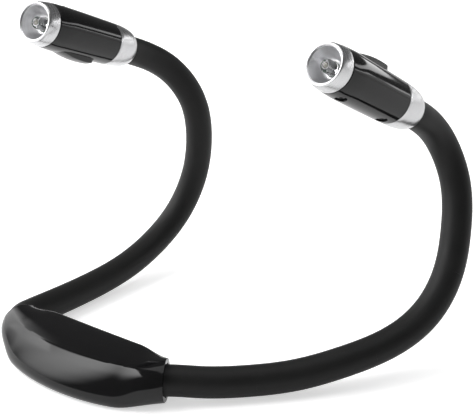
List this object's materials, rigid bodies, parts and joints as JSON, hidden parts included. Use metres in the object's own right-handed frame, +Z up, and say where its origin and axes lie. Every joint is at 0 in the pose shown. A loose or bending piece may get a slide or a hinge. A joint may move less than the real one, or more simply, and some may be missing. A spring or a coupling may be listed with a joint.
{
  "type": "neck reading light",
  "caption": "Neck reading light with a crescent battery housing, two bendable rubber-covered arms, each ending in a small tubular lamp head with a push button.",
  "frame": {"origin": "on the flat underside of the housing, on the battery door, at the middle of the housing under its neck-side seam", "axes": "+X from the left arm to the right arm as seen from behind the neck, +Y from the housing towards the chest, where the arms reach, +Z up from the surface it lies on"},
  "size_m": [0.1596, 0.1392, 0.1352],
  "materials": {
    "shell": "high gloss black",
    "cover": "satin black",
    "rubber": "matt black",
    "core": "drawn wire",
    "bezel": "brushed",
    "reflector": "satin silver coating",
    "lens": "clear resin",
    "board": "green laminate",
    "button": "fine satin black",
    "switch": "dark grey",
    "screw": "zinc plated",
    "cell": "plain metal can",
    "contact": "nickel plated",
    "clamp": "dark grey"
  },
  "bodies": {
    "housing": {"back_cover": "cover", "battery_door": "cover", "cell_1": "cell", "cell_2": "cell", "contact_bridge": "contact", "contact_negative": "contact", "contact_positive": "contact", "driver_board": "board", "left_arm_clamp": "clamp", "left_core_1": "core", "left_cover_screw": "screw", "left_sleeve_1": "rubber", "outer_shell": "shell", "right_arm_clamp": "clamp", "right_core_1": "core", "right_cover_screw": "screw", "right_sleeve_1": "rubber"},
    "left_arm_1": {"left_core_2": "core", "left_sleeve_2": "rubber"},
    "left_arm_2": {"left_core_3": "core", "left_sleeve_3": "rubber"},
    "left_arm_3": {"left_core_4": "core", "left_sleeve_4": "rubber"},
    "left_arm_4": {"left_core_5": "core", "left_sleeve_5": "rubber"},
    "left_head": {"left_core_6": "core", "left_front_bezel": "bezel", "left_front_screw": "screw", "left_led": "lens", "left_led_board": "board", "left_lower_shell": "shell", "left_rear_collar": "bezel", "left_rear_screw": "screw", "left_reflector": "reflector", "left_sleeve_6": "rubber", "left_switch": "switch", "left_upper_shell": "shell"},
    "left_button_body": {"left_button": "button"},
    "right_arm_1": {"right_core_2": "core", "right_sleeve_2": "rubber"},
    "right_arm_2": {"right_core_3": "core", "right_sleeve_3": "rubber"},
    "right_arm_3": {"right_core_4": "core", "right_sleeve_4": "rubber"},
    "right_arm_4": {"right_core_5": "core", "right_sleeve_5": "rubber"},
    "right_head": {"right_core_6": "core", "right_front_bezel": "bezel", "right_front_screw": "screw", "right_led": "lens", "right_led_board": "board", "right_lower_shell": "shell", "right_rear_collar": "bezel", "right_rear_screw": "screw", "right_reflector": "reflector", "right_sleeve_6": "rubber", "right_switch": "switch", "right_upper_shell": "shell"},
    "right_button_body": {"right_button": "button"}
  },
  "joints": [
    {"name": "left_bend_1", "type": "hinge", "parent": "housing", "child": "left_arm_1", "pos_m": [-0.04308, 0.00547, 0.00741], "axis": [-0.091, 0.0769, 0.9929], "range_deg": [-25, 25]},
    {"name": "left_bend_2", "type": "hinge", "parent": "left_arm_1", "child": "left_arm_2", "pos_m": [-0.04129, 0.05266, 0.00715], "axis": [0.994, -0.0582, 0.0929], "range_deg": [-25, 25]},
    {"name": "left_bend_3", "type": "hinge", "parent": "left_arm_2", "child": "left_arm_3", "pos_m": [-0.03875, 0.0964, 0.02235], "axis": [-0.1447, -0.6804, 0.7185], "range_deg": [-25, 25]},
    {"name": "left_bend_4", "type": "hinge", "parent": "left_arm_3", "child": "left_arm_4", "pos_m": [-0.0319, 0.10581, 0.06632], "axis": [0.9555, -0.2879, -0.065], "range_deg": [-25, 25]},
    {"name": "left_bend_5", "type": "hinge", "parent": "left_arm_4", "child": "left_head", "pos_m": [-0.04198, 0.08042, 0.1019], "axis": [-0.0654, -0.4157, -0.9071], "range_deg": [-25, 25]},
    {"name": "left_button_press", "type": "slide", "parent": "left_head", "child": "left_button_body", "axis": [-0.0195, -0.3768, -0.9261], "range_m": [-0.0007, 0], "stiffness_N_per_m": 400},
    {"name": "right_bend_1", "type": "hinge", "parent": "housing", "child": "right_arm_1", "pos_m": [0.0453, 0.00381, 0.00766], "axis": [0.0742, 0.0572, 0.9956], "range_deg": [-25, 25]},
    {"name": "right_bend_2", "type": "hinge", "parent": "right_arm_1", "child": "right_arm_2", "pos_m": [0.07718, 0.03674, 0.00796], "axis": [0.788, -0.6157, -0.0022], "range_deg": [-25, 25]},
    {"name": "right_bend_3", "type": "hinge", "parent": "right_arm_2", "child": "right_arm_3", "pos_m": [0.09989, 0.07444, 0.01979], "axis": [-0.2578, -0.4402, 0.8601], "range_deg": [-25, 25]},
    {"name": "right_bend_4", "type": "hinge", "parent": "right_arm_3", "child": "right_arm_4", "pos_m": [0.09906, 0.10334, 0.05408], "axis": [0.9259, -0.1434, 0.3495], "range_deg": [-25, 25]},
    {"name": "right_bend_5", "type": "hinge", "parent": "right_arm_4", "child": "right_head", "pos_m": [0.08584, 0.09614, 0.09243], "axis": [0.1351, -0.5752, -0.8068], "range_deg": [-25, 25]},
    {"name": "right_button_press", "type": "slide", "parent": "right_head", "child": "right_button_body", "axis": [-0.2566, 0.4979, 0.8284], "range_m": [-0.0007, 0], "stiffness_N_per_m": 400}
  ]
}
